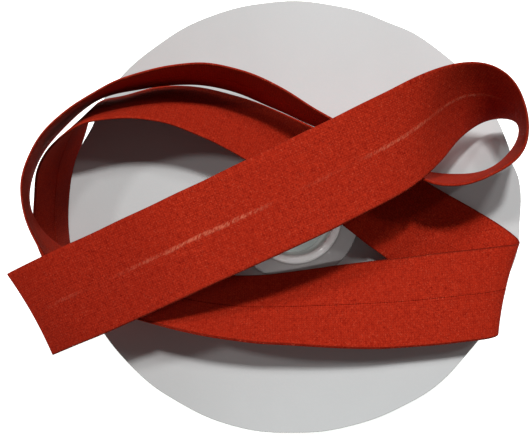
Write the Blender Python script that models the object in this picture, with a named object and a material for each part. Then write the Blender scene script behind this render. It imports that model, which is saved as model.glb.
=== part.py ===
"""Roll of folded bias binding on a card reel, lying flat, with its loose end looped on the top card.

Metres, +Z up. The reel axis is vertical. The underside of the lower card is z = 0.
"""
import math

import bmesh
import bpy
from mathutils import Vector

for old in list(bpy.data.objects):
    bpy.data.objects.remove(old, do_unlink=True)

MM = 0.001

# ---------------------------------------------------------------- driving sizes (mm)
TAPE_WIDTH = 30.0          # finished width of the folded tape
TAPE_THICK = 1.0           # folded tape, three layers at the lapped edges
CARD_THICK = 1.2           # both cards
CARD_HALF_X = 78.3         # the cards are cut slightly oval
CARD_HALF_Y = 74.5
CARD_HOLE_R = 15.9
ROLL_R = 62.0              # outside of the wound roll
ROLL_STEP = 1.0            # the step where the last turn lies on the one below it
GAP = 0.3                  # air between touching pieces
HUB_TUBE_R = 15.6
HUB_BORE_R = 13.2
HUB_COLLAR_R = 22.0
HUB_COLLAR_THICK = 0.9
HUB_RIM_R = 16.3
HUB_RIM_RISE = 2.0
REEL_X = 6.68              # reel axis, so that the whole object is centred on the origin
REEL_Y = -0.15
ROUND_STEPS = 120

ROLL_LOW = CARD_THICK + GAP
ROLL_HIGH = ROLL_LOW + TAPE_WIDTH
CARD_TOP_LOW = ROLL_HIGH + GAP
CARD_TOP_HIGH = CARD_TOP_LOW + CARD_THICK      # upper face of the top card
COLLAR_LOW = CARD_TOP_HIGH + GAP
COLLAR_HIGH = COLLAR_LOW + HUB_COLLAR_THICK

# The card was cut by hand: small waves round its edge.
# waves round the edge, height mm, phase degrees
CARD_WAVES = (
    (3, 0.18, 40.0),
    (7, 0.14, 110.0),
    (13, 0.10, 15.0),
    (23, 0.07, 200.0),
)
# flats and nicks: place degrees, half width degrees, depth mm
CARD_NICKS = (
    (14.0, 2.2, 0.9),
    (155.5, 5.0, 1.3),
    (64.0, 5.0, 0.5),
    (-38.0, 6.0, 0.5),
    (-2.0, 5.5, 0.9),
    (-17.0, 6.5, 1.4),
)

# The loose tape, section by section from the roll to its cut end.
# x, y: middle of the tape from the reel axis (mm); up: height of the middle over the
# top face of the upper card (mm); bearing, lean: way across the tape, from its second
# edge to its first (degrees round, degrees up).
TAPE_SECTIONS = (
    # name, x, y, up, bearing, lean
    ("under_card_1",  -19.4,  -59.8,  -16.6,   24.9,   90.0),
    ("under_card_2",  -30.3,  -55.0,  -16.6,  300.4,   90.0),
    ("under_card_3",  -40.6,  -48.8,  -16.6,  340.7,   90.0),
    ("under_card_4",  -50.8,  -42.4,  -16.6,  328.0,   89.9),
    ("under_card_5",  -61.1,  -35.9,  -16.6,  324.2,   89.6),
    ("under_card_6",  -71.4,  -29.7,  -16.6,  340.1,   88.9),
    ("under_card_7",  -78.6,  -24.7,  -16.6,  305.9,   88.9),
    ("rise_1",  -83.6,  -18.3,  -16.6,  228.8,   86.1),
    ("rise_2",  -85.4,  -13.2,  -17.3,  219.3,   81.3),
    ("rise_3",  -86.4,   -7.7,  -16.8,  218.2,   76.5),
    ("rise_4",  -86.7,   -2.0,  -15.8,  220.8,   72.7),
    ("rise_5",  -86.4,    3.6,  -14.2,  224.8,   69.9),
    ("rise_6",  -85.4,    9.0,  -11.4,  227.9,   67.9),
    ("rise_7",  -84.0,   13.9,   -7.7,  228.2,   65.9),
    ("rise_8",  -82.3,   18.4,   -3.5,  227.2,   64.4),
    ("rise_9",  -80.0,   22.5,    0.8,  228.0,   64.1),
    ("over_rim_1",  -77.2,   26.3,    5.3,  233.1,   64.9),
    ("over_rim_2",  -73.9,   29.8,    9.9,  243.3,   66.0),
    ("over_rim_3",  -72.0,   31.4,   12.1,  249.1,   66.4),
    ("over_rim_4",  -69.8,   32.9,   14.1,  254.0,   66.7),
    ("over_rim_5",  -67.4,   34.1,   15.5,  257.0,   67.4),
    ("over_rim_6",  -64.7,   35.0,   16.1,  258.5,   68.4),
    ("over_rim_7",  -61.9,   35.6,   16.0,  260.0,   69.1),
    ("over_rim_8",  -56.4,   36.6,   15.7,  264.1,   68.1),
    ("lean_1",  -50.9,   37.3,   15.7,  266.4,   65.2),
    ("lean_2",  -42.3,   37.3,   15.5,  264.8,   60.1),
    ("lean_3",  -30.9,   35.0,   14.8,  259.7,   54.3),
    ("lean_4",  -17.0,   29.9,   13.4,  253.0,   48.6),
    ("lean_5",   -1.1,   21.8,   11.6,  247.5,   40.8),
    ("lay_1",   14.6,   13.2,    9.5,  245.0,   31.3),
    ("lay_2",   30.0,    4.2,    6.2,  242.2,   16.7),
    ("lay_3",   44.8,   -5.2,    2.8,  239.8,    2.1),
    ("lay_4",   55.5,  -11.3,    2.1,  239.2,   -1.5),
    ("fold_1",   63.4,  -16.3,    3.0,  239.9,   -2.9),
    ("fold_2",   69.4,  -21.5,    6.2,  246.7,   -5.2),
    ("fold_3",   70.2,  -22.8,    7.9,  252.3,   -5.6),
    ("fold_4",   69.9,  -23.8,    9.7,  259.4,   -4.6),
    ("fold_5",   68.5,  -24.3,   11.2,  265.6,   -2.2),
    ("back_1",   63.3,  -25.2,   12.9,  271.9,    2.6),
    ("back_2",   53.9,  -26.3,   13.3,  274.1,    6.6),
    ("back_3",   38.3,  -28.0,   12.7,  273.4,   12.1),
    ("back_4",   20.3,  -29.2,   12.5,  271.7,   25.0),
    ("back_5",    2.3,  -29.9,   12.8,  271.0,   39.0),
    ("back_6",  -15.6,  -30.0,   13.3,  269.3,   48.6),
    ("outer_1",  -33.3,  -28.0,   13.7,  267.8,   54.1),
    ("outer_2",  -51.2,  -24.6,   14.4,  271.2,   59.6),
    ("outer_3",  -65.9,  -20.7,   15.1,  283.2,   65.9),
    ("outer_4",  -76.3,  -15.4,   15.4,  301.7,   70.1),
    ("outer_5",  -82.3,   -9.2,   16.0,  315.1,   71.9),
    ("outer_6",  -86.5,   -1.4,   17.5,  323.0,   74.0),
    ("outer_7",  -87.7,   10.6,   18.2,  316.7,   78.5),
    ("outer_8",  -83.8,   21.9,   18.3,  302.0,   81.8),
    ("outer_9",  -76.1,   31.0,   19.0,  293.3,   83.5),
    ("standing_1",  -66.7,   37.9,   20.0,  305.3,   83.2),
    ("standing_2",  -51.4,   43.5,   20.6,  334.6,   88.6),
    ("standing_3",  -36.6,   46.0,   20.2,   68.1,   86.5),
    ("standing_4",  -21.7,   44.5,   20.1,   67.1,   84.2),
    ("standing_5",   -7.8,   39.2,   20.1,   65.1,   84.0),
    ("standing_6",    5.5,   32.1,   20.2,   51.7,   87.2),
    ("standing_7",   19.0,   25.2,   20.0,  285.0,   87.6),
    ("standing_8",   32.0,   17.7,   19.4,  256.8,   82.6),
    ("funnel_1",   42.8,   13.0,   18.9,  245.8,   79.5),
    ("funnel_2",   51.5,   12.1,   18.9,  233.2,   79.6),
    ("funnel_3",   60.1,   13.6,   19.4,  213.4,   80.5),
    ("funnel_4",   65.4,   16.1,   20.0,  207.0,   80.3),
    ("funnel_5",   69.7,   19.8,   20.8,  210.0,   79.4),
    ("funnel_6",   72.3,   24.7,   22.0,  211.3,   78.0),
    ("funnel_7",   72.2,   29.9,   23.4,  203.5,   79.2),
    ("funnel_8",   69.0,   34.0,   24.7,  134.3,   84.7),
    ("funnel_9",   64.5,   36.3,   25.9,   80.4,   73.5),
    ("funnel_10",   57.0,   36.8,   28.7,   83.3,   53.4),
    ("front_1",   49.6,   34.6,   32.5,   92.0,   37.8),
    ("front_2",   40.0,   29.3,   37.5,  102.6,   23.8),
    ("front_3",   27.5,   21.8,   41.4,  111.0,   11.0),
    ("front_4",   11.3,   13.6,   42.3,  114.2,    1.7),
    ("front_5",   -5.1,    5.6,   41.2,  114.7,   -0.1),
    ("front_6",  -21.5,   -2.0,   39.2,  114.5,    0.2),
    ("front_7",  -37.8,   -9.5,   36.8,  114.6,   -0.0),
    ("front_8",  -53.9,  -17.1,   34.4,  114.6,    0.1),
    ("front_9",  -64.6,  -21.9,   32.7,  114.8,    2.1),
    ("cut_end_1",  -75.0,  -26.5,   29.7,  115.6,    6.1),
    ("cut_end_2",  -84.9,  -31.1,   24.4,  116.7,   10.0),
)
TAPE_STEPS = 236           # sections of the finished tape
TAPE_ACROSS = 5            # points across each face
CUT_HOLLOW = 1.1           # the cut end curves in by this much


def material(name, colour, roughness, metallic=0.0):
    mat = bpy.data.materials.new(name)
    mat.use_nodes = True
    bsdf = mat.node_tree.nodes["Principled BSDF"]
    bsdf.inputs["Base Color"].default_value = (*colour, 1.0)
    bsdf.inputs["Roughness"].default_value = roughness
    bsdf.inputs["Metallic"].default_value = metallic
    mat.diffuse_color = (*colour, 1.0)
    return mat


def finish(name, bm, mat, sharp=40.0):
    bmesh.ops.recalc_face_normals(bm, faces=bm.faces[:])
    mesh = bpy.data.meshes.new(name)
    bm.to_mesh(mesh)
    bm.free()
    for poly in mesh.polygons:
        poly.use_smooth = True
    mesh.set_sharp_from_angle(angle=math.radians(sharp))
    mesh.materials.append(mat)
    obj = bpy.data.objects.new(name, mesh)
    bpy.context.scene.collection.objects.link(obj)
    return obj


def ring_body(rings):
    """Closed ring from loops of points; each loop has the same count and the last joins the first."""
    bm = bmesh.new()
    loops = [[bm.verts.new((x * MM, y * MM, z * MM)) for x, y, z in ring] for ring in rings]
    count = len(loops[0])
    for a, b in zip(loops, loops[1:] + loops[:1]):
        for i in range(count):
            j = (i + 1) % count
            bm.faces.new((a[i], a[j], b[j], b[i]))
    return bm


def circle(radius, z, steps=ROUND_STEPS):
    return [(REEL_X + radius * math.cos(2 * math.pi * i / steps),
             REEL_Y + radius * math.sin(2 * math.pi * i / steps), z) for i in range(steps)]


def card_radius(angle):
    c, s = math.cos(angle), math.sin(angle)
    radius = 1.0 / math.sqrt((c / CARD_HALF_X) ** 2 + (s / CARD_HALF_Y) ** 2)
    for waves, height, phase in CARD_WAVES:
        radius += height * math.sin(waves * angle + math.radians(phase))
    for place, half_width, depth in CARD_NICKS:
        off = (math.degrees(angle) - place + 180.0) % 360.0 - 180.0
        radius -= depth * math.exp(-(off / half_width) ** 2)
    return radius


def card(name, low, turn, mat):
    """A disc of card with its hub hole; turn shifts the waves so the two cards differ."""
    steps = 180
    high = low + CARD_THICK

    def outline(inset, z):
        points = []
        for i in range(steps):
            a = 2 * math.pi * i / steps
            r = card_radius(a) if turn is None else card_radius(math.pi - a) + 0.2 * math.sin(5 * a + turn)
            points.append((REEL_X + (r - inset) * math.cos(a), REEL_Y + (r - inset) * math.sin(a), z))
        return points

    soft = 0.18
    rings = [circle(CARD_HOLE_R, high, steps), outline(soft, high), outline(0.0, high - soft),
             outline(0.0, low + soft), outline(soft, low), circle(CARD_HOLE_R, low, steps)]
    return finish(name, ring_body(rings), mat)


def hub(mat):
    rise = CARD_TOP_HIGH + HUB_RIM_RISE
    rings = [
        circle(HUB_BORE_R, 0.0), circle(HUB_BORE_R, rise - 0.5), circle(HUB_BORE_R + 0.4, rise - 0.1),
        circle(HUB_BORE_R + 1.0, rise), circle(HUB_RIM_R - 0.7, rise - 0.1), circle(HUB_RIM_R - 0.1, rise - 0.6),
        circle(HUB_RIM_R, COLLAR_HIGH + 0.15), circle(HUB_RIM_R + 0.3, COLLAR_HIGH),
        circle(HUB_COLLAR_R - 0.3, COLLAR_HIGH), circle(HUB_COLLAR_R, COLLAR_HIGH - 0.3),
        circle(HUB_COLLAR_R, COLLAR_LOW), circle(HUB_TUBE_R, COLLAR_LOW), circle(HUB_TUBE_R, 0.0),
    ]
    return finish("hub", ring_body(rings), mat, 35.0)


def wound_roll(mat):
    """The wound turns as one ring, a spiral step on its outside where the loose tape leaves."""
    steps = 144
    start = math.radians(252.0)
    inner = HUB_TUBE_R + GAP
    ease = 0.6

    def outer(inset, z):
        points = []
        for i in range(steps):
            a = 2 * math.pi * i / steps
            turned = ((a - start) % (2 * math.pi)) / (2 * math.pi)
            r = ROLL_R - ROLL_STEP * (1.0 - turned if turned > 0.05 else 0.95 * turned / 0.05)
            points.append((REEL_X + (r - inset) * math.cos(a), REEL_Y + (r - inset) * math.sin(a), z))
        return points

    rings = [circle(inner, ROLL_HIGH, steps), circle(inner + 15.0, ROLL_HIGH - 0.15, steps), circle(inner + 30.0, ROLL_HIGH, steps),
             outer(ease, ROLL_HIGH), outer(0.0, ROLL_HIGH - ease),
             outer(0.0, ROLL_LOW + ease), outer(ease, ROLL_LOW), circle(inner, ROLL_LOW, steps)]
    return finish("binding_roll", ring_body(rings), mat, 50.0)


def spline(knots, values, at):
    """Natural cubic spline through the values (Vectors) at the knots."""
    n = len(knots)
    gaps = [knots[i + 1] - knots[i] for i in range(n - 1)]
    bend = [Vector((0, 0, 0)) for _ in range(n)]
    diag, rhs = [1.0] * n, [Vector((0, 0, 0)) for _ in range(n)]
    upper = [0.0] * n
    for i in range(1, n - 1):
        slope = (values[i + 1] - values[i]) / gaps[i] - (values[i] - values[i - 1]) / gaps[i - 1]
        weight = 2 * (gaps[i] + gaps[i - 1]) - gaps[i - 1] * upper[i - 1]
        upper[i] = gaps[i] / weight
        rhs[i] = (6 * slope - gaps[i - 1] * rhs[i - 1]) / weight
        diag[i] = weight
    for i in range(n - 2, 0, -1):
        bend[i] = rhs[i] - upper[i] * bend[i + 1]
    result = []
    i = 0
    for t in at:
        while i < n - 2 and t > knots[i + 1]:
            i += 1
        h = gaps[i]
        a, b = (knots[i + 1] - t) / h, (t - knots[i]) / h
        result.append(a * values[i] + b * values[i + 1]
                      + ((a ** 3 - a) * bend[i] + (b ** 3 - b) * bend[i + 1]) * h * h / 6)
    return result


def tape_frames(steps):
    """Middle points and across directions of the loose tape, spaced more closely where it turns."""
    middles, across = [], []
    for _name, x, y, up, bearing, lean in TAPE_SECTIONS:
        middles.append(Vector((REEL_X + x, REEL_Y + y, CARD_TOP_HIGH + up)))
        b, e = math.radians(bearing), math.radians(lean)
        across.append(Vector((math.cos(e) * math.cos(b), math.cos(e) * math.sin(b), math.sin(e))))
    knots = [0.0]
    for i in range(1, len(middles)):
        knots.append(knots[-1] + (middles[i] - middles[i - 1]).length + 8.0 * (across[i] - across[i - 1]).length)
    at = [knots[-1] * i / (steps - 1) for i in range(steps)]
    places = spline(knots, middles, at)
    ways = [v.normalized() for v in spline(knots, across, at)]
    return places, ways


def loose_tape(mat):
    places, ways = tape_frames(TAPE_STEPS)
    bm = bmesh.new()
    half, thick = TAPE_WIDTH / 2, TAPE_THICK / 2
    loops = []
    last = len(places) - 1
    for i, (place, way) in enumerate(zip(places, ways)):
        along = (places[min(i + 1, last)] - places[max(i - 1, 0)]).normalized()
        face = along.cross(way).normalized()
        along = way.cross(face)
        fade = max(0.0, 1.0 - (last - i) / 4.0)
        loop = []
        for side in (1, -1):
            for k in range(TAPE_ACROSS):
                f = (-1 + 2 * k / (TAPE_ACROSS - 1)) * side
                pull = -CUT_HOLLOW * fade * (1 - f * f)
                loop.append(bm.verts.new((place + way * (half - thick) * f + face * thick * side + along * pull) * MM))
            loop.append(bm.verts.new((place + way * half * side) * MM))
        loops.append(loop)
    count = len(loops[0])
    for a, b in zip(loops, loops[1:]):
        for i in range(count):
            j = (i + 1) % count
            bm.faces.new((a[i], b[i], b[j], a[j]))
    for loop in (loops[0], loops[-1]):
        # the end is filled as strips between its two faces
        n = TAPE_ACROSS
        top, bottom = loop[0:n], loop[n + 1:2 * n + 1][::-1]
        tip_high, tip_low = loop[n], loop[2 * n + 1]
        bm.faces.new((top[-1], tip_high, bottom[-1]))
        bm.faces.new((bottom[0], tip_low, top[0]))
        for k in range(n - 1):
            bm.faces.new((top[k], top[k + 1], bottom[k + 1], bottom[k]))
    return finish("binding_tail", bm, mat, 60.0)


card_low_mat = material("card_low", (0.56, 0.55, 0.53), 0.75)
card_top_mat = material("card_top", (0.60, 0.58, 0.57), 0.72)
hub_mat = material("hub_white", (0.72, 0.72, 0.70), 0.35)
roll_mat = material("tape_wound", (0.36, 0.035, 0.014), 0.85)
tail_mat = material("tape_loose", (0.38, 0.04, 0.016), 0.85)

card("flange_bottom", 0.0, 0.7, card_low_mat)
card("flange_top", CARD_TOP_LOW, None, card_top_mat)
hub(hub_mat)
wound_roll(roll_mat)
loose_tape(tail_mat)
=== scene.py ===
"""Roll of folded bias binding on a card reel, lying flat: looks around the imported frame."""

import math

import bmesh
import bpy
import numpy as np
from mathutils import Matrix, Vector


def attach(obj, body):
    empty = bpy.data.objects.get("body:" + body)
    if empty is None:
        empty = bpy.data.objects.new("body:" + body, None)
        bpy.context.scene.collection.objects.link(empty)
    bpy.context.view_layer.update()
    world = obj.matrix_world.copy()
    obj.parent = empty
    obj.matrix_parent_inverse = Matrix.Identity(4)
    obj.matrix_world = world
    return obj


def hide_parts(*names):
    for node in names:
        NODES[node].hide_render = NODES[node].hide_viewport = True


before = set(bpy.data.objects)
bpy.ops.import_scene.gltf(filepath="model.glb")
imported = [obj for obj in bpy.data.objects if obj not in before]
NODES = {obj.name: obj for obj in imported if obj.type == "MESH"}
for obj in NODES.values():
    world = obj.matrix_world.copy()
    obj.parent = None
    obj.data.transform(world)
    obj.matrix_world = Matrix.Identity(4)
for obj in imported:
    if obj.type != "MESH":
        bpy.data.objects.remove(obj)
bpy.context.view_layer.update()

MM = 0.001

# ------------------------------------------------------------------ sizes that the frame was built with (mm)
REEL_X, REEL_Y = 6.68, -0.15
CARD_TOP = 33.0
TAPE_WIDTH = 30.0
TAPE_SECTIONS = (
    # name, x, y, up, bearing, lean
    ("under_card_1",  -19.4,  -59.8,  -16.6,   24.9,   90.0),
    ("under_card_2",  -30.3,  -55.0,  -16.6,  300.4,   90.0),
    ("under_card_3",  -40.6,  -48.8,  -16.6,  340.7,   90.0),
    ("under_card_4",  -50.8,  -42.4,  -16.6,  328.0,   89.9),
    ("under_card_5",  -61.1,  -35.9,  -16.6,  324.2,   89.6),
    ("under_card_6",  -71.4,  -29.7,  -16.6,  340.1,   88.9),
    ("under_card_7",  -78.6,  -24.7,  -16.6,  305.9,   88.9),
    ("rise_1",  -83.6,  -18.3,  -16.6,  228.8,   86.1),
    ("rise_2",  -85.4,  -13.2,  -17.3,  219.3,   81.3),
    ("rise_3",  -86.4,   -7.7,  -16.8,  218.2,   76.5),
    ("rise_4",  -86.7,   -2.0,  -15.8,  220.8,   72.7),
    ("rise_5",  -86.4,    3.6,  -14.2,  224.8,   69.9),
    ("rise_6",  -85.4,    9.0,  -11.4,  227.9,   67.9),
    ("rise_7",  -84.0,   13.9,   -7.7,  228.2,   65.9),
    ("rise_8",  -82.3,   18.4,   -3.5,  227.2,   64.4),
    ("rise_9",  -80.0,   22.5,    0.8,  228.0,   64.1),
    ("over_rim_1",  -77.2,   26.3,    5.3,  233.1,   64.9),
    ("over_rim_2",  -73.9,   29.8,    9.9,  243.3,   66.0),
    ("over_rim_3",  -72.0,   31.4,   12.1,  249.1,   66.4),
    ("over_rim_4",  -69.8,   32.9,   14.1,  254.0,   66.7),
    ("over_rim_5",  -67.4,   34.1,   15.5,  257.0,   67.4),
    ("over_rim_6",  -64.7,   35.0,   16.1,  258.5,   68.4),
    ("over_rim_7",  -61.9,   35.6,   16.0,  260.0,   69.1),
    ("over_rim_8",  -56.4,   36.6,   15.7,  264.1,   68.1),
    ("lean_1",  -50.9,   37.3,   15.7,  266.4,   65.2),
    ("lean_2",  -42.3,   37.3,   15.5,  264.8,   60.1),
    ("lean_3",  -30.9,   35.0,   14.8,  259.7,   54.3),
    ("lean_4",  -17.0,   29.9,   13.4,  253.0,   48.6),
    ("lean_5",   -1.1,   21.8,   11.6,  247.5,   40.8),
    ("lay_1",   14.6,   13.2,    9.5,  245.0,   31.3),
    ("lay_2",   30.0,    4.2,    6.2,  242.2,   16.7),
    ("lay_3",   44.8,   -5.2,    2.8,  239.8,    2.1),
    ("lay_4",   55.5,  -11.3,    2.1,  239.2,   -1.5),
    ("fold_1",   63.4,  -16.3,    3.0,  239.9,   -2.9),
    ("fold_2",   69.4,  -21.5,    6.2,  246.7,   -5.2),
    ("fold_3",   70.2,  -22.8,    7.9,  252.3,   -5.6),
    ("fold_4",   69.9,  -23.8,    9.7,  259.4,   -4.6),
    ("fold_5",   68.5,  -24.3,   11.2,  265.6,   -2.2),
    ("back_1",   63.3,  -25.2,   12.9,  271.9,    2.6),
    ("back_2",   53.9,  -26.3,   13.3,  274.1,    6.6),
    ("back_3",   38.3,  -28.0,   12.7,  273.4,   12.1),
    ("back_4",   20.3,  -29.2,   12.5,  271.7,   25.0),
    ("back_5",    2.3,  -29.9,   12.8,  271.0,   39.0),
    ("back_6",  -15.6,  -30.0,   13.3,  269.3,   48.6),
    ("outer_1",  -33.3,  -28.0,   13.7,  267.8,   54.1),
    ("outer_2",  -51.2,  -24.6,   14.4,  271.2,   59.6),
    ("outer_3",  -65.9,  -20.7,   15.1,  283.2,   65.9),
    ("outer_4",  -76.3,  -15.4,   15.4,  301.7,   70.1),
    ("outer_5",  -82.3,   -9.2,   16.0,  315.1,   71.9),
    ("outer_6",  -86.5,   -1.4,   17.5,  323.0,   74.0),
    ("outer_7",  -87.7,   10.6,   18.2,  316.7,   78.5),
    ("outer_8",  -83.8,   21.9,   18.3,  302.0,   81.8),
    ("outer_9",  -76.1,   31.0,   19.0,  293.3,   83.5),
    ("standing_1",  -66.7,   37.9,   20.0,  305.3,   83.2),
    ("standing_2",  -51.4,   43.5,   20.6,  334.6,   88.6),
    ("standing_3",  -36.6,   46.0,   20.2,   68.1,   86.5),
    ("standing_4",  -21.7,   44.5,   20.1,   67.1,   84.2),
    ("standing_5",   -7.8,   39.2,   20.1,   65.1,   84.0),
    ("standing_6",    5.5,   32.1,   20.2,   51.7,   87.2),
    ("standing_7",   19.0,   25.2,   20.0,  285.0,   87.6),
    ("standing_8",   32.0,   17.7,   19.4,  256.8,   82.6),
    ("funnel_1",   42.8,   13.0,   18.9,  245.8,   79.5),
    ("funnel_2",   51.5,   12.1,   18.9,  233.2,   79.6),
    ("funnel_3",   60.1,   13.6,   19.4,  213.4,   80.5),
    ("funnel_4",   65.4,   16.1,   20.0,  207.0,   80.3),
    ("funnel_5",   69.7,   19.8,   20.8,  210.0,   79.4),
    ("funnel_6",   72.3,   24.7,   22.0,  211.3,   78.0),
    ("funnel_7",   72.2,   29.9,   23.4,  203.5,   79.2),
    ("funnel_8",   69.0,   34.0,   24.7,  134.3,   84.7),
    ("funnel_9",   64.5,   36.3,   25.9,   80.4,   73.5),
    ("funnel_10",   57.0,   36.8,   28.7,   83.3,   53.4),
    ("front_1",   49.6,   34.6,   32.5,   92.0,   37.8),
    ("front_2",   40.0,   29.3,   37.5,  102.6,   23.8),
    ("front_3",   27.5,   21.8,   41.4,  111.0,   11.0),
    ("front_4",   11.3,   13.6,   42.3,  114.2,    1.7),
    ("front_5",   -5.1,    5.6,   41.2,  114.7,   -0.1),
    ("front_6",  -21.5,   -2.0,   39.2,  114.5,    0.2),
    ("front_7",  -37.8,   -9.5,   36.8,  114.6,   -0.0),
    ("front_8",  -53.9,  -17.1,   34.4,  114.6,    0.1),
    ("front_9",  -64.6,  -21.9,   32.7,  114.8,    2.1),
    ("cut_end_1",  -75.0,  -26.5,   29.7,  115.6,    6.1),
    ("cut_end_2",  -84.9,  -31.1,   24.4,  116.7,   10.0),
)
CUT_HOLLOW = 1.1
SAG, SAG_AT = 3.2, 156.0     # mm, and mm from the cut end


# ------------------------------------------------------------------ node helpers
def new_material(name):
    mat = bpy.data.materials.new(name)
    mat.use_nodes = True
    tree = mat.node_tree
    tree.nodes.clear()
    out = tree.nodes.new("ShaderNodeOutputMaterial")
    bsdf = tree.nodes.new("ShaderNodeBsdfPrincipled")
    tree.links.new(bsdf.outputs[0], out.inputs[0])
    return mat, tree, bsdf


class Graph:
    """Small wrapper so a node graph reads like a formula."""

    def __init__(self, tree):
        self.tree = tree

    def put(self, socket, value):
        if isinstance(value, (int, float)):
            socket.default_value = value
        elif isinstance(value, tuple):
            socket.default_value = value if len(value) == len(socket.default_value) else (*value, 1.0)
        else:
            self.tree.links.new(value, socket)

    def math(self, op, a, b=None, c=None, clamp=False):
        n = self.tree.nodes.new("ShaderNodeMath")
        n.operation = op
        n.use_clamp = clamp
        for i, v in enumerate((a, b, c)):
            if v is not None:
                self.put(n.inputs[i], v)
        return n.outputs[0]

    def vec(self, op, a, b=None, scale=None):
        n = self.tree.nodes.new("ShaderNodeVectorMath")
        n.operation = op
        self.put(n.inputs[0], a)
        if b is not None:
            self.put(n.inputs[1], b)
        if scale is not None:
            self.put(n.inputs["Scale"], scale)
        return n.outputs[0]

    def xyz(self, v):
        n = self.tree.nodes.new("ShaderNodeSeparateXYZ")
        self.put(n.inputs[0], v)
        return n.outputs

    def join(self, x, y, z=0.0):
        n = self.tree.nodes.new("ShaderNodeCombineXYZ")
        for i, v in enumerate((x, y, z)):
            self.put(n.inputs[i], v)
        return n.outputs[0]

    def noise(self, at, scale, detail=2.0, rough=0.5):
        n = self.tree.nodes.new("ShaderNodeTexNoise")
        self.put(n.inputs["Vector"], at)
        n.inputs["Scale"].default_value = scale
        n.inputs["Detail"].default_value = detail
        n.inputs["Roughness"].default_value = rough
        return n.outputs["Fac"]

    def ramp(self, value, low, high, to_low=0.0, to_high=1.0, smooth=True):
        n = self.tree.nodes.new("ShaderNodeMapRange")
        n.interpolation_type = "SMOOTHSTEP" if smooth else "LINEAR"
        self.put(n.inputs["Value"], value)
        for key, v in (("From Min", low), ("From Max", high), ("To Min", to_low), ("To Max", to_high)):
            self.put(n.inputs[key], v)
        return n.outputs["Result"]

    def mix(self, fac, a, b, blend="MIX"):
        n = self.tree.nodes.new("ShaderNodeMix")
        n.data_type = "RGBA"
        n.blend_type = blend
        self.put(n.inputs[0], fac)
        self.put(n.inputs[6], a)
        self.put(n.inputs[7], b)
        return n.outputs[2]

    def bump(self, height, distance, strength=1.0, normal=None):
        n = self.tree.nodes.new("ShaderNodeBump")
        n.inputs["Strength"].default_value = strength
        n.inputs["Distance"].default_value = distance
        self.put(n.inputs["Height"], height)
        if normal is not None:
            self.put(n.inputs["Normal"], normal)
        return n.outputs[0]

    def uv(self):
        n = self.tree.nodes.new("ShaderNodeUVMap")
        n.uv_map = "cloth"
        return n.outputs[0]

    def place(self):
        return self.tree.nodes.new("ShaderNodeTexCoord").outputs["Object"]

    def normal(self):
        return self.tree.nodes.new("ShaderNodeTexCoord").outputs["Normal"]


# ------------------------------------------------------------------ materials
# Cloth coordinates are millimetres over the flat, unfolded strip: across, and along from the cut end (minus).
THREAD = 0.56              # pitch of the plain weave, mm
CREASE_ACROSS = 15.0       # the slit behind the face prints through here
# worn stretches of the crease: from, to (mm from the cut end), strength
CREASE_WEAR = (
    (-169.0, -148.0, 0.42),
    (-141.0, -121.0, 0.45),
    (-108.0, -100.0, 0.12),
    (-82.0, -50.0, 0.60),
    (-50.0, -38.0, 0.35),
    (-18.0, -12.0, 0.25),
)


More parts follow.
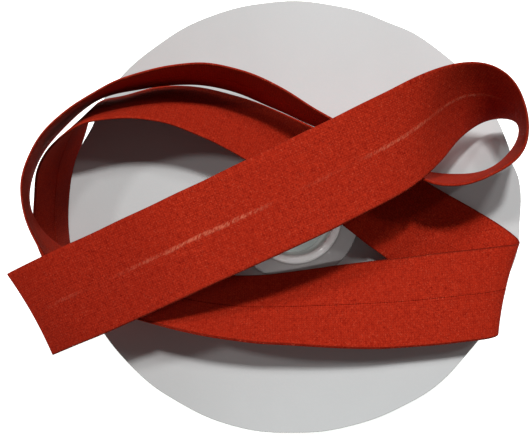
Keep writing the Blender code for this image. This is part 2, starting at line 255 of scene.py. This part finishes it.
def cotton(name, base, dark, light, crease):
    mat, tree, bsdf = new_material(name)
    g = Graph(tree)
    uv = g.uv()
    across, along, _ = g.xyz(uv)
    # threads run at 45 degrees to the tape, and waver a little
    warp = g.vec("SCALE", g.vec("SUBTRACT", tree_noise_color(g, uv, 0.16), (0.5, 0.5, 0.5)), scale=0.5)
    bent = g.vec("ADD", uv, warp)
    bx, by, _ = g.xyz(bent)
    k = math.sqrt(0.5) / THREAD
    a = g.math("MULTIPLY", g.math("ADD", bx, by), k)
    b = g.math("MULTIPLY", g.math("SUBTRACT", bx, by), k)
    sa = g.math("SINE", g.math("MULTIPLY", a, math.pi))
    sb = g.math("SINE", g.math("MULTIPLY", b, math.pi))
    # over and under: a thread stands up where it crosses over
    over = g.math("MULTIPLY", sa, sb)
    hump = g.math("ADD", g.math("MULTIPLY", over, 0.5), 0.5)
    ribs = g.math("MULTIPLY", g.math("ABSOLUTE", sa), g.math("ABSOLUTE", sb))
    weave = g.math("ADD", g.math("MULTIPLY", hump, 0.6), g.math("MULTIPLY", ribs, 0.4))
    # thick and thin yarns, each along its own direction
    yarn_a = g.noise(g.join(g.math("MULTIPLY", a, 0.80), g.math("MULTIPLY", b, 0.24)), 1.0, 2.0, 0.65)
    yarn_b = g.noise(g.join(g.math("MULTIPLY", a, 0.24), g.math("MULTIPLY", b, 0.80), 7.0), 1.0, 2.0, 0.65)
    yarn = g.math("ADD", g.math("MULTIPLY", yarn_a, 0.5), g.math("MULTIPLY", yarn_b, 0.5))
    fleck = g.noise(uv, 1.75, 2.0, 0.75)
    broad = g.noise(uv, 0.055, 3.0, 0.55)
    tone = g.math("ADD", g.math("MULTIPLY", weave, 0.34),
                  g.math("ADD", g.math("MULTIPLY", yarn, 1.25), g.math("MULTIPLY", fleck, 0.75)))
    tone = g.ramp(tone, 0.83, 1.52, smooth=False)
    colour = g.mix(tone, dark, light)
    colour = g.mix(g.ramp(broad, 0.3, 0.7, 0.0, 0.22), colour, base)
    # the folded edges are painted paler, unevenly: a painted highlight along the fold edges
    fold = g.math("MINIMUM", g.math("ABSOLUTE", across), g.math("ABSOLUTE", g.math("SUBTRACT", across, 30.0)))
    painted_edge_highlight = g.math("MULTIPLY", g.ramp(fold, 0.25, 0.95, 1.0, 0.0), g.ramp(g.noise(g.join(along, 9.0), 0.35, 3.0, 0.6), 0.30, 0.70, 0.0, 0.22))
    colour = g.mix(painted_edge_highlight, colour, (0.50, 0.070, 0.032))
    # the turn of the fold itself is painted darker: painted shade along each folded edge
    colour = g.mix(g.ramp(fold, 0.15, 0.80, 0.90, 0.0), colour, g.mix(1.0, colour, (0.38, 0.30, 0.30), "MULTIPLY"))
    # single pale fibres that stand out of the weave
    fibre = g.noise(g.join(g.math("MULTIPLY", a, 0.9), g.math("MULTIPLY", b, 0.9), 19.0), 1.6, 1.0, 0.5)
    colour = g.mix(g.ramp(fibre, 0.62, 0.74, 0.0, 0.38), colour, (0.62, 0.100, 0.050))
    if crease:
        wander = g.math("MULTIPLY", g.math("SUBTRACT", g.noise(g.join(along, 3.0), 0.09, 1.0), 0.5), 1.0)
        off = g.math("ABSOLUTE", g.math("SUBTRACT", g.math("ADD", across, wander), CREASE_ACROSS))
        line = g.ramp(off, 0.15, 1.15, 1.0, 0.0)
        where = None
        for low, high, strength in CREASE_WEAR:
            rise = g.ramp(along, low - 8.0, low + 6.0)
            fall = g.ramp(along, high - 6.0, high + 8.0, 1.0, 0.0)
            part = g.math("MULTIPLY", g.math("MULTIPLY", rise, fall), strength)
            where = part if where is None else g.math("MAXIMUM", where, part)
        # only the high points of the weave are worn
        hatch = g.noise(g.join(g.math("MULTIPLY", a, 1.30), g.math("MULTIPLY", b, 0.42), 3.0), 1.0, 1.0, 0.6)
        patch = g.noise(g.join(across, along, 5.0), 0.22, 2.0, 0.6)
        dots = g.math("ADD", g.math("MULTIPLY", hatch, 0.72), g.math("MULTIPLY", patch, 0.28))
        dots = g.ramp(g.math("ADD", dots, g.math("MULTIPLY", line, 0.14)), 0.50, 0.76)
        worn = g.math("MULTIPLY", g.math("MULTIPLY", line, where), dots)
        colour = g.mix(worn, colour, (0.66, 0.185, 0.105))
        # the last stretch towards the cut end is painted duller: painted shade on the drooping end
        colour = g.mix(g.ramp(along, -64.0, -36.0, 0.0, 1.0), colour, g.mix(1.0, colour, (0.84, 0.80, 0.84), "MULTIPLY"))
        # a soft ridge along the crease even where it isn't worn
        ridge = g.ramp(off, 0.0, 1.0, 1.0, 0.0)
        height = g.math("ADD", g.math("MULTIPLY", weave, 1.0), g.math("MULTIPLY", ridge, 0.35))
    else:
        height = weave
    height = g.math("ADD", height, g.math("MULTIPLY", yarn, 0.9))
    tree.links.new(colour, bsdf.inputs["Base Color"])
    rough = g.ramp(yarn, 0.3, 0.7, 0.78, 0.95)
    tree.links.new(rough, bsdf.inputs["Roughness"])
    bsdf.inputs["Specular IOR Level"].default_value = 0.03
    bsdf.inputs["Sheen Weight"].default_value = 0.015
    bsdf.inputs["Sheen Roughness"].default_value = 0.45
    bsdf.inputs["Sheen Tint"].default_value = (1.0, 0.42, 0.30, 1.0)
    tree.links.new(g.bump(height, 0.00009, 0.8), bsdf.inputs["Normal"])
    return mat


def tree_noise_color(g, at, scale):
    n = g.tree.nodes.new("ShaderNodeTexNoise")
    g.put(n.inputs["Vector"], at)
    n.inputs["Scale"].default_value = scale
    n.inputs["Detail"].default_value = 2.0
    return n.outputs["Color"]


def card_board(name, face, core, seed):
    """White-faced board: fibres and faint smudges on the faces, raw grey-brown core at the cut edge."""
    mat, tree, bsdf = new_material(name)
    g = Graph(tree)
    at = g.vec("ADD", g.place(), (seed, seed * 0.7, 0.0))
    _, _, nz = g.xyz(g.normal())
    flat = g.ramp(g.math("ABSOLUTE", nz), 0.5, 0.9)
    fibre = g.noise(at, 1500.0, 3.0, 0.6)
    cloud = g.noise(at, 22.0, 3.0, 0.5)
    smudge = g.noise(g.vec("MULTIPLY", at, (1.0, 0.35, 1.0)), 60.0, 4.0, 0.6)
    colour = g.mix(g.ramp(cloud, 0.3, 0.7), face, tuple(c * 0.955 for c in face))
    colour = g.mix(g.ramp(smudge, 0.52, 0.75, 0.0, 0.10), colour, tuple(c * 0.82 for c in face))
    colour = g.mix(g.ramp(fibre, 0.45, 0.75, 0.0, 0.10), colour, tuple(min(1.0, c * 1.12) for c in face))
    x, y, z = g.xyz(at)
    # the left side is painted a little darker: painted shade from the standing tape at the left
    colour = g.mix(g.ramp(x, -0.055, 0.020, 1.0, 0.0), colour, g.mix(1.0, colour, (0.83, 0.825, 0.82), "MULTIPLY"))
    ply = g.noise(g.join(g.math("MULTIPLY", x, 0.2), g.math("MULTIPLY", y, 0.2), g.math("MULTIPLY", z, 9.0)), 900.0, 3.0, 0.6)
    edge = g.mix(ply, core, tuple(c * 0.62 for c in core))
    colour = g.mix(flat, edge, colour)
    tree.links.new(colour, bsdf.inputs["Base Color"])
    tree.links.new(g.ramp(cloud, 0.3, 0.7, 0.62, 0.74), bsdf.inputs["Roughness"])
    bsdf.inputs["Specular IOR Level"].default_value = 0.30
    height = g.math("ADD", g.math("MULTIPLY", fibre, 0.5), g.math("MULTIPLY", g.noise(at, 420.0, 2.0), 0.8))
    tree.links.new(g.bump(height, 0.00006, 0.6), bsdf.inputs["Normal"])
    return mat


def moulding(name, base):
    """White moulded plastic: faint flow lines, cloudy tone and scuffs."""
    mat, tree, bsdf = new_material(name)
    g = Graph(tree)
    at = g.place()
    x, y, z = g.xyz(g.vec("SUBTRACT", at, (REEL_X * MM, REEL_Y * MM, 0.0)))
    radius = g.math("SQRT", g.math("ADD", g.math("MULTIPLY", x, x), g.math("MULTIPLY", y, y)))
    turned = g.noise(g.join(g.math("MULTIPLY", radius, 1.0), 0.0, g.math("MULTIPLY", z, 1.0)), 1800.0, 1.0)
    cloud = g.noise(at, 90.0, 3.0)
    scuff = g.noise(g.vec("MULTIPLY", at, (1.0, 0.2, 1.0)), 700.0, 4.0, 0.7)
    # the raised ring is the bare tube; the flat collar round it is painted duller and greyer, a painted shade that
    # keeps it dim under the hub lamp
    body = g.mix(g.ramp(radius, 0.01595, 0.01615, smooth=False), base, (0.37, 0.355, 0.35))
    colour = g.mix(g.ramp(cloud, 0.35, 0.65), body, g.mix(1.0, body, (0.93, 0.93, 0.93), "MULTIPLY"))
    colour = g.mix(g.ramp(scuff, 0.58, 0.75, 0.0, 0.22), colour, g.mix(1.0, colour, (0.74, 0.74, 0.74), "MULTIPLY"))
    tree.links.new(colour, bsdf.inputs["Base Color"])
    tree.links.new(g.ramp(scuff, 0.4, 0.7, 0.30, 0.48), bsdf.inputs["Roughness"])
    bsdf.inputs["Specular IOR Level"].default_value = 0.5
    bsdf.inputs["Subsurface Weight"].default_value = 0.15
    bsdf.inputs["Subsurface Radius"].default_value = (0.002, 0.002, 0.002)
    height = g.math("ADD", g.math("MULTIPLY", turned, 0.4), g.math("MULTIPLY", cloud, 0.5))
    tree.links.new(g.bump(height, 0.00004, 0.5), bsdf.inputs["Normal"])
    return mat


def dress(node, mat):
    obj = NODES[node]
    obj.data.materials.clear()
    obj.data.materials.append(mat)


RED = (0.336, 0.0152, 0.0050)
RED_DARK = (0.195, 0.0050, 0.0016)
RED_LIGHT = (0.506, 0.0335, 0.0118)
tape_mat = cotton("tape_cotton", RED, RED_DARK, RED_LIGHT, True)
roll_mat = cotton("tape_cotton_wound", RED, RED_DARK, RED_LIGHT, False)
card_mat = card_board("card_white_top", (0.590, 0.605, 0.605), (0.44, 0.41, 0.37), 0.0)
card_low_mat = card_board("card_white_low", (0.590, 0.605, 0.605), (0.44, 0.41, 0.37), 0.31)
hub_mat = moulding("hub_plastic", (0.93, 0.93, 0.915))
dress("flange_top", card_mat)
dress("flange_bottom", card_low_mat)
dress("hub", hub_mat)


# ------------------------------------------------------------------ the loose tape
def natural_spline(knots, values, at):
    """Natural cubic spline, values as rows."""
    knots, values, at = np.asarray(knots), np.asarray(values, float), np.asarray(at)
    n = len(knots)
    gaps = np.diff(knots)
    m = np.zeros((n, n))
    rhs = np.zeros_like(values)
    m[0, 0] = m[-1, -1] = 1.0
    for i in range(1, n - 1):
        m[i, i - 1], m[i, i], m[i, i + 1] = gaps[i - 1], 2 * (gaps[i - 1] + gaps[i]), gaps[i]
        rhs[i] = 6 * ((values[i + 1] - values[i]) / gaps[i] - (values[i] - values[i - 1]) / gaps[i - 1])
    bend = np.linalg.solve(m, rhs)
    i = np.clip(np.searchsorted(knots, at, side="right") - 1, 0, n - 2)
    h = gaps[i][:, None]
    a = (knots[i + 1][:, None] - at[:, None]) / h
    b = (at[:, None] - knots[i][:, None]) / h
    return a * values[i] + b * values[i + 1] + ((a ** 3 - a) * bend[i] + (b ** 3 - b) * bend[i + 1]) * h * h / 6


def tape_frames(steps):
    """Middle, across, face and along directions at even steps of length, and the length so far (mm)."""
    mid = np.array([(REEL_X + x, REEL_Y + y, CARD_TOP + up) for _, x, y, up, _, _ in TAPE_SECTIONS])
    bearing = np.radians([row[4] for row in TAPE_SECTIONS])
    lean = np.radians([row[5] for row in TAPE_SECTIONS])
    way = np.stack([np.cos(lean) * np.cos(bearing), np.cos(lean) * np.sin(bearing), np.sin(lean)], 1)
    step = np.linalg.norm(np.diff(mid, axis=0), axis=1) + 8.0 * np.linalg.norm(np.diff(way, axis=0), axis=1)
    knots = np.r_[0.0, np.cumsum(step)]
    fine = np.linspace(0.0, knots[-1], 6000)
    mids, ways = natural_spline(knots, mid, fine), natural_spline(knots, way, fine)
    ways /= np.linalg.norm(ways, axis=1)[:, None]
    arc = np.r_[0.0, np.cumsum(np.linalg.norm(np.diff(mids, axis=0), axis=1))]
    # even in length, but closer where the tape turns sharply
    turn = np.r_[0.0, np.cumsum(np.linalg.norm(np.diff(np.gradient(mids, axis=0) / np.gradient(arc)[:, None], axis=0), axis=1))]
    measure = arc + 14.0 * turn
    at = np.interp(np.linspace(0.0, measure[-1], steps), measure, fine)
    mids = natural_spline(knots, mid, at)
    ways = natural_spline(knots, way, at)
    ways /= np.linalg.norm(ways, axis=1)[:, None]
    along = np.gradient(mids, axis=0)
    along /= np.linalg.norm(along, axis=1)[:, None]
    faces = np.cross(ways, along)
    faces /= np.linalg.norm(faces, axis=1)[:, None]
    along = np.cross(faces, ways)
    length = np.r_[0.0, np.cumsum(np.linalg.norm(np.diff(mids, axis=0), axis=1))]
    return mids, ways, faces, along, length


def folded_profile():
    """Closed outline of the folded tape, starting in the slit behind the face.
    Rows: across (mm, + to the first edge), out (mm, + on the plain face), cloth (mm over the unfolded strip)."""
    half = TAPE_WIDTH / 2
    t = 0.42                       # half of the folded thickness
    rows = []
    # first flap, from the slit outwards on the back
    for u in (0.32, 0.42, 0.9, 2.2, 4.5, 7.5, 10.5, 12.8, 14.2):
        rows.append((u, -t, 2 * half + (half - u)))
    for k in range(1, 6):
        a = math.pi * k / 6
        rows.append((half - t + t * math.sin(a), -t * math.cos(a), 2 * half - 0.4 + 0.4 * (1 - k / 3)))
    # plain face
    for u in (14.2, 12.8, 11.0, 9.0, 7.0, 5.0, 3.2, 1.6, 0.7, 0.0, -0.7, -1.6, -3.2, -5.0, -7.0, -9.0, -11.0, -12.8, -14.2):
        rows.append((u, t, half + u))
    for k in range(1, 6):
        a = math.pi * k / 6
        rows.append((-(half - t + t * math.sin(a)), t * math.cos(a), 0.4 - 0.4 * (k / 3)))
    for u in (-14.2, -12.8, -10.5, -7.5, -4.5, -2.2, -0.9, -0.42, -0.32):
        rows.append((u, -t, -(half + u)))
    # the slit: down to the back of the face cloth and up again
    rows.append((-0.30, -0.02, -half + 0.4))
    rows.append((0.30, -0.02, -half + 0.1))
    return rows


def wobble(rng, count, low, high):
    """A smooth seeded wave along the tape, from a few sines."""
    parts = [(rng.uniform(low, high), rng.uniform(0, 2 * math.pi), rng.uniform(0.5, 1.0)) for _ in range(count)]

    def wave(v):
        total = sum(size * np.sin(2 * math.pi * v / length + phase) for length, phase, size in parts)
        return total / sum(size for _, _, size in parts)
    return wave


def mesh_object(name, verts, faces, uvs, mat, sharp=None):
    mesh = bpy.data.meshes.new(name)
    mesh.from_pydata([tuple(v) for v in verts], [], faces)
    layer = mesh.uv_layers.new(name="cloth")
    for poly, corner_uvs in zip(mesh.polygons, uvs):
        poly.use_smooth = True
        for li, uv in zip(poly.loop_indices, corner_uvs):
            layer.data[li].uv = uv
    if sharp:
        mesh.set_sharp_from_angle(angle=math.radians(sharp))
    mesh.materials.append(mat)
    obj = bpy.data.objects.new(name, mesh)
    bpy.context.scene.collection.objects.link(obj)
    return obj


def loose_tape():
    steps = 620
    mids, ways, faces, along, length = tape_frames(steps)
    profile = folded_profile()
    n = len(profile)
    rng = np.random.default_rng(7)
    edge_a, edge_b = wobble(rng, 5, 14, 60), wobble(rng, 5, 14, 60)
    face_wave, flap_a, flap_b = wobble(rng, 6, 9, 45), wobble(rng, 6, 7, 40), wobble(rng, 6, 7, 40)
    side_a, side_b = wobble(rng, 5, 18, 80), wobble(rng, 5, 18, 80)
    free = np.clip((length - 110.0) / 25.0, 0, 1)         # the end under the card stays straight
    ea, eb, fw = edge_a(length) * free, edge_b(length) * free, face_wave(length) * free
    fa, fb = flap_a(length) * free, flap_b(length) * free
    sa, sb = side_a(length) * free, side_b(length) * free
    last = length[-1]
    sag = np.exp(-((length - last + SAG_AT) / 17.0) ** 2)
    fade = np.clip(1.0 - (last - length) / 9.0, 0, 1) ** 2
    verts, cloth = [], []
    for i in range(steps):
        for u, out, c in profile:
            f = u / (TAPE_WIDTH / 2)
            # where the tape turns over at the right its middle sinks
            lift = -SAG * sag[i] * (1 - f * f) + 0.13 * fw[i] * (1 - f * f) + (0.22 * ea[i] if f > 0 else 0.22 * eb[i]) * abs(f) ** 3
            thick = out
            if out < 0 and abs(u) < 8:
                near = math.exp(-(abs(u) / 2.4) ** 2)
                thick = out - near * ((0.10 + 0.07 * fa[i]) if u > 0 else (0.03 + 0.05 * fb[i]))
            side = 0.16 * (sa[i] if u > 0 else sb[i]) * abs(f) ** 2
            pull = -CUT_HOLLOW * fade[i] * (1 - f * f)
            p = mids[i] + ways[i] * (u + side) + faces[i] * (thick + lift) + along[i] * pull
            verts.append(p * MM)
        cloth.append(length[i] - last)
    quads, uvs = [], []
    for i in range(steps - 1):
        for k in range(n):
            j = (k + 1) % n
            quads.append((i * n + k, (i + 1) * n + k, (i + 1) * n + j, i * n + j))
            ck, cj = profile[k][2], profile[j][2]
            if k == n - 1:
                cj = ck + 0.3
            uvs.append(((ck, cloth[i]), (ck, cloth[i + 1]), (cj, cloth[i + 1]), (cj, cloth[i])))
    # ends
    for base, i, flip in ((0, 0, False), ((steps - 1) * n, steps - 1, True)):
        ring = list(range(base, base + n))
        poly = ring if flip else ring[::-1]
        quads.append(tuple(poly))
        uvs.append(tuple((profile[k - base][2] if profile[k - base][1] > 0 else 15.0, cloth[i]) for k in poly))
    obj = mesh_object("tape_folded", verts, quads, uvs, tape_mat, 55.0)
    bm = bmesh.new()
    bm.from_mesh(obj.data)
    bmesh.ops.triangulate(bm, faces=[f for f in bm.faces if len(f.verts) > 4])
    bmesh.ops.recalc_face_normals(bm, faces=bm.faces[:])
    bm.to_mesh(obj.data)
    bm.free()
    return obj, last


tape, tape_length = loose_tape()
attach(tape, "root")
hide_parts("binding_tail")


# ------------------------------------------------------------------ the wound turns
def wound_turns():
    """Outer turns of the roll as a ring whose folded edges show one inside the other."""
    steps = 360
    start = math.radians(252.0)
    low, high = 1.5, 31.5
    r = 0.42
    turns = 7
    pitch = 0.92
    rng = np.random.default_rng(11)
    waves = [(rng.integers(3, 17), rng.uniform(0, 6.28), rng.uniform(0.02, 0.09)) for _ in range(6)]
    edge_waves = [[(rng.integers(5, 29), rng.uniform(0, 6.28), rng.uniform(0.02, 0.06)) for _ in range(4)] for _ in range(turns * 2 + 2)]
    # outline of one cut through the roll, outside first: (depth from outside, z, cloth across)
    outline = []
    outline.append(("face", 0.0, high - r, 14.6))
    for k in range(1, 9):
        outline.append(("face", 0.0, high - r - (high - low - 2 * r) * k / 9, 14.6 - 29.2 * k / 9))
    outline.append(("face", 0.0, low + r, -14.6))
    for t in range(turns):
        d = t * pitch
        outline.append((f"l{t}", d + r * 0.3, low + r * 0.3, -15.2))
        outline.append((f"l{t}", d + r, low, -15.6))
        outline.append((f"l{t}", d + 2 * r * 0.85, low + r * 0.3, -16.0))
        outline.append((f"l{t}", d + pitch, low + r * 1.1, -16.4))
    outline.append(("in", 46.0, low + 0.4, -46.0))
    outline.append(("in", 46.0, high - 0.4, 46.0))
    for t in reversed(range(turns)):
        d = t * pitch
        outline.append((f"h{t}", d + pitch, high - r * 1.1, 16.4))
        outline.append((f"h{t}", d + 2 * r * 0.85, high - r * 0.3, 16.0))
        outline.append((f"h{t}", d + r, high, 15.6))
        outline.append((f"h{t}", d + r * 0.3, high - r * 0.3, 15.2))
    n = len(outline)
    verts, quads, uvs = [], [], []
    for i in range(steps):
        a = 2 * math.pi * i / steps
        turned = ((a - start) % (2 * math.pi)) / (2 * math.pi)
        outer = 62.0 - 1.0 * (1.0 - turned if turned > 0.02 else 0.98 * turned / 0.02) - 0.02
        ripple = sum(size * math.sin(count * a + phase) for count, phase, size in waves) - 0.1
        for tag, depth, z, _ in outline:
            rad = outer - depth + (ripple if depth < 20 else 0.0)
            if tag[0] in "lh":
                idx = int(tag[1:]) * 2 + (1 if tag[0] == "h" else 0)
                dz = sum(size * math.sin(count * a + phase) for count, phase, size in edge_waves[idx])
                dz = abs(dz) + 0.02
                z = z + dz if tag[0] == "l" else z - dz
            if tag == "in":
                rad = 62.0 - depth
            verts.append(((REEL_X + rad * math.cos(a)) * MM, (REEL_Y + rad * math.sin(a)) * MM, z * MM))
    for i in range(steps):
        j = (i + 1) % steps
        va, vb = 62.0 * 2 * math.pi * i / steps, 62.0 * 2 * math.pi * (i + 1) / steps
        for k in range(n):
            m = (k + 1) % n
            quads.append((i * n + k, i * n + m, j * n + m, j * n + k))
            ck, cm = outline[k][3], outline[m][3]
            uvs.append(((ck, va), (cm, va), (cm, vb), (ck, vb)))
    obj = mesh_object("roll_turns", verts, quads, uvs, roll_mat, 60.0)
    bm = bmesh.new()
    bm.from_mesh(obj.data)
    bmesh.ops.recalc_face_normals(bm, faces=bm.faces[:])
    bm.to_mesh(obj.data)
    bm.free()
    return obj


roll = wound_turns()
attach(roll, "root")
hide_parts("binding_roll")


# ------------------------------------------------------------------ floor, light, camera
def floor():
    mesh = bpy.data.meshes.new("floor")
    s = 1.6
    mesh.from_pydata([(-s, -s, 0), (s, -s, 0), (s, s, 0), (-s, s, 0)], [], [(0, 1, 2, 3)])
    obj = bpy.data.objects.new("floor", mesh)
    obj.location.z = -0.0002
    bpy.context.scene.collection.objects.link(obj)
    mat, tree, bsdf = new_material("floor_pale")
    g = Graph(tree)
    x, y, _ = g.xyz(g.vec("SUBTRACT", g.place(), (REEL_X * MM, REEL_Y * MM, 0.0)))
    radius = g.math("SQRT", g.math("ADD", g.math("MULTIPLY", x, x), g.math("MULTIPLY", y, y)))
    # plain and pale, but in the shade under the reel
    shade = g.ramp(radius, 0.025, 0.045)
    tree.links.new(g.mix(shade, (0.40, 0.425, 0.41), (0.93, 0.93, 0.93)), bsdf.inputs["Base Color"])
    bsdf.inputs["Roughness"].default_value = 0.9
    bsdf.inputs["Emission Color"].default_value = (0.93, 1.0, 0.97, 1.0)
    glow = g.ramp(radius, 0.025, 0.045, HOLE_GLOW, FLOOR_GLOW)
    glow = g.math("MULTIPLY", glow, g.ramp(radius, 0.12, 0.24, 1.0, 0.25))
    tree.links.new(glow, bsdf.inputs["Emission Strength"])
    mesh.materials.append(mat)


def area_light(name, azimuth, elevation, distance, size, power, colour=(1, 1, 1)):
    """A square lamp aimed at the reel; azimuth in degrees from +X."""
    data = bpy.data.lights.new(name, "AREA")
    data.shape = "SQUARE"
    data.size = size
    data.energy = power
    data.color = colour
    obj = bpy.data.objects.new(name, data)
    a, e = math.radians(azimuth), math.radians(elevation)
    aim = Vector((0.0, 0.0, 0.035))
    obj.location = aim + distance * Vector((math.cos(e) * math.cos(a), math.cos(e) * math.sin(a), math.sin(e)))
    obj.rotation_euler = (aim - obj.location).to_track_quat("-Z", "Y").to_euler()
    bpy.context.scene.collection.objects.link(obj)


FLOOR_GLOW = 0.90
HOLE_GLOW = 0.14
floor()
area_light("lamp_a", 91.0, 65.8, 1.5, 0.10, 12.7)
area_light("lamp_b", 70.0, 62.0, 1.5, 0.12, 2.7)
area_light("lamp_c", 115.0, 61.0, 1.5, 0.12, 3.6)
area_light("lamp_d", 155.0, 50.0, 1.5, 0.10, 3.8)
area_light("lamp_e", 32.0, 52.0, 1.5, 0.10, 1.6)
# a small spot for the hub alone, so that its ring shows under the loose tape
area_light("lamp_hub", -75.0, 72.0, 1.5, 0.06, 4.2)
hub_only = bpy.data.collections.new("hub_only")
hub_only.objects.link(NODES["hub"])
bpy.data.objects["lamp_hub"].light_linking.receiver_collection = hub_only
world = bpy.data.worlds.new("studio")
world.use_nodes = True
world.node_tree.nodes["Background"].inputs[0].default_value = (1.0, 1.0, 1.0, 1.0)
world.node_tree.nodes["Background"].inputs[1].default_value = 0.11
bpy.context.scene.world = world
bpy.context.scene.view_settings.view_transform = "Standard"

# The photo is taken from straight above, close by: 2.9 picture points to the millimetre on the card.
camera_data = bpy.data.cameras.new("camera")
camera_data.sensor_width = 36.0
camera_data.lens = 36.0 * 2.9 * 320.0 / 530.0
camera_data.clip_start = 0.01
camera = bpy.data.objects.new("camera", camera_data)
camera.location = ((REEL_X - 10.2) * MM, REEL_Y * MM, (CARD_TOP + 320.0) * MM)
camera.rotation_euler = (0.0, 0.0, 0.0)
bpy.context.scene.collection.objects.link(camera)
bpy.context.scene.camera = camera
